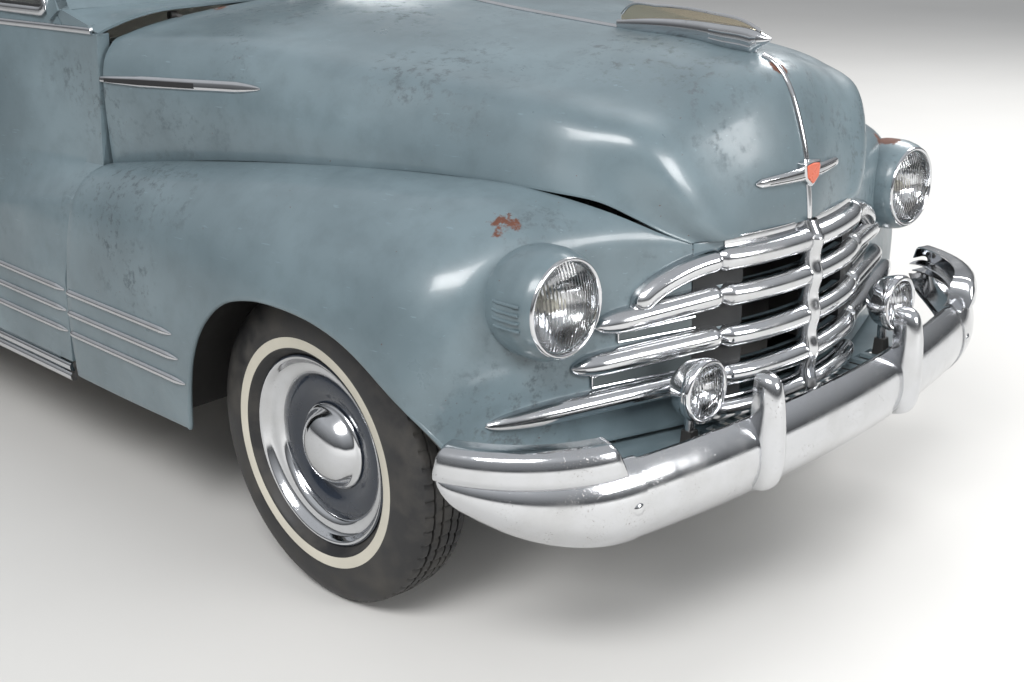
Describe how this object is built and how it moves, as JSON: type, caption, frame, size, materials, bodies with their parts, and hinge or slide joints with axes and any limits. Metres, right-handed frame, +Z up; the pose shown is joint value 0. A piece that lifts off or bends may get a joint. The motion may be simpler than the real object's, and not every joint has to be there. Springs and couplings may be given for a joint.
{
  "type": "classic fastback saloon car",
  "caption": "Weathered late-1940s two-door fastback saloon with turning wheels, steering, opening doors, hood and boot lid.",
  "frame": {"origin": "on the ground at the centre of the car's footprint box", "axes": "+X towards the nose, +Y to the car's left, +Z up"},
  "size_m": [5.023, 1.8624, 1.6904],
  "materials": {
    "body_paint": "faded satin paint",
    "chassis_black": "dull black",
    "engine_grey": "cast",
    "exhaust_steel": "rusty",
    "window_glass": "clear",
    "lamp_glass": "fluted",
    "tail_red": "clear red",
    "chrome_trim": "worn chrome",
    "dash_paint": "satin",
    "wheel_plastic": "moulded",
    "seat_cloth": "woven",
    "wheel_steel": "gloss dark blue",
    "tyre_rubber": "worn rubber"
  },
  "bodies": {
    "body": {"frame_rails": "chassis_black", "front_suspension": "chassis_black", "rear_axle": "chassis_black", "engine": "engine_grey", "radiator": "chassis_black", "exhaust": "exhaust_steel", "fuel_tank": "chassis_black", "floor_pan": "body_paint", "body_shell": "body_paint", "windscreen": "window_glass", "rear_glass": "window_glass", "nose_panel": "body_paint", "grille": "chrome_trim", "gravel_shield": "body_paint", "bumper_front": "chrome_trim", "bumper_rear": "chrome_trim", "headlamps": "body_paint", "fog_lamps": "chrome_trim", "lamp_lenses": "lamp_glass", "tail_lamps": "tail_red", "dashboard": "dash_paint", "steering_column": "chassis_black", "seat_frames": "chassis_black", "front_seat": "seat_cloth", "rear_seat": "seat_cloth", "fender_front_left": "body_paint", "fender_rear_left": "body_paint", "fender_front_right": "body_paint", "fender_rear_right": "body_paint"},
    "hood": {"hood": "body_paint", "hood_ornament": "chrome_trim"},
    "boot_lid": {"boot_lid": "body_paint"},
    "steering_wheel": {"steering_wheel": "wheel_plastic"},
    "door_left": {"door_left": "body_paint", "door_glass_left": "window_glass"},
    "knuckle_left": {"knuckle_left": "chassis_black"},
    "wheel_front_left": {"wheel_front_left": "wheel_steel", "tyre_front_left": "tyre_rubber"},
    "wheel_rear_left": {"wheel_rear_left": "wheel_steel", "tyre_rear_left": "tyre_rubber"},
    "door_right": {"door_right": "body_paint", "door_glass_right": "window_glass"},
    "knuckle_right": {"knuckle_right": "chassis_black"},
    "wheel_front_right": {"wheel_front_right": "wheel_steel", "tyre_front_right": "tyre_rubber"},
    "wheel_rear_right": {"wheel_rear_right": "wheel_steel", "tyre_rear_right": "tyre_rubber"}
  },
  "joints": [
    {"name": "door_left_hinge", "type": "hinge", "parent": "body", "child": "door_left", "pos_m": [0.77, 0.878, 0.545], "axis": [0, 0, -1], "range_deg": [0, 62]},
    {"name": "steer_left", "type": "hinge", "parent": "body", "child": "knuckle_left", "pos_m": [1.671, 0.65, 0.355], "axis": [0, 0, 1], "range_deg": [-30, 30]},
    {"name": "wheel_front_left_spin", "type": "hinge", "parent": "knuckle_left", "child": "wheel_front_left", "pos_m": [1.671, 0.732, 0.355], "axis": [0, 1, 0], "continuous": true},
    {"name": "wheel_rear_left_spin", "type": "hinge", "parent": "body", "child": "wheel_rear_left", "pos_m": [-1.275, 0.762, 0.355], "axis": [0, 1, 0], "continuous": true},
    {"name": "door_right_hinge", "type": "hinge", "parent": "body", "child": "door_right", "pos_m": [0.77, -0.878, 0.545], "axis": [0, 0, 1], "range_deg": [0, 62]},
    {"name": "steer_right", "type": "hinge", "parent": "body", "child": "knuckle_right", "pos_m": [1.671, -0.65, 0.355], "axis": [0, 0, 1], "range_deg": [-30, 30]},
    {"name": "wheel_front_right_spin", "type": "hinge", "parent": "knuckle_right", "child": "wheel_front_right", "pos_m": [1.671, -0.732, 0.355], "axis": [0, 1, 0], "continuous": true},
    {"name": "wheel_rear_right_spin", "type": "hinge", "parent": "body", "child": "wheel_rear_right", "pos_m": [-1.275, -0.762, 0.355], "axis": [0, 1, 0], "continuous": true},
    {"name": "steering_wheel_turn", "type": "hinge", "parent": "body", "child": "steering_wheel", "pos_m": [0.33, 0.37, 1.01], "axis": [-0.8624, 0, 0.5063], "range_deg": [-480, 480]},
    {"name": "hood_hinge", "type": "hinge", "parent": "body", "child": "hood", "pos_m": [0.885, 0, 1.212], "axis": [0, -1, 0], "range_deg": [0, 45]},
    {"name": "boot_lid_hinge", "type": "hinge", "parent": "body", "child": "boot_lid", "pos_m": [-1.555, 0, 1.40412], "axis": [0, 1, 0], "range_deg": [0, 60]}
  ],
  "couplings": [
    {"joint": "steer_right", "follows": "steer_left", "ratio": 1},
    {"joint": "steering_wheel_turn", "follows": "steer_left", "ratio": 16}
  ]
}
